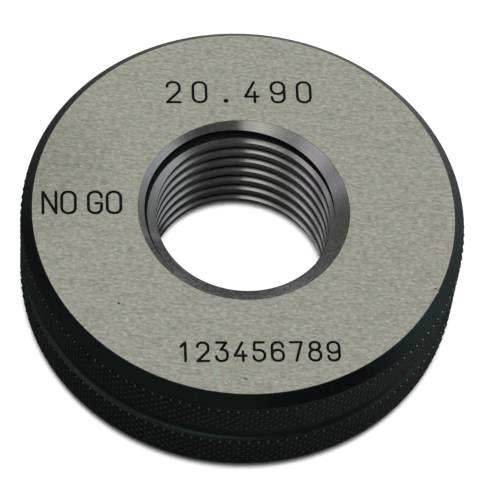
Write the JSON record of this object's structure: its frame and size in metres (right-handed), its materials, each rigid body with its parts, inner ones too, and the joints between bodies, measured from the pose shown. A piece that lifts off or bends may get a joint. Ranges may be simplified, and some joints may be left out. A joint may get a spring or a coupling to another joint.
{
  "type": "ring gauge",
  "caption": "No-go thread ring gauge: hardened steel ring with ground faces, knurled grooved rim and an internal screw thread",
  "frame": {"origin": "centre of the lower face, on the axis of the thread", "axes": "+Z along the thread's axis, out of the marked face; -Y towards the viewer of the picture"},
  "size_m": [0.0514, 0.0514, 0.0154],
  "materials": {
    "ground_steel": "finely ground faces, darker turned and knurled rim"
  },
  "bodies": {
    "root": {"gauge_ring": "ground_steel"}
  },
  "joints": []
}
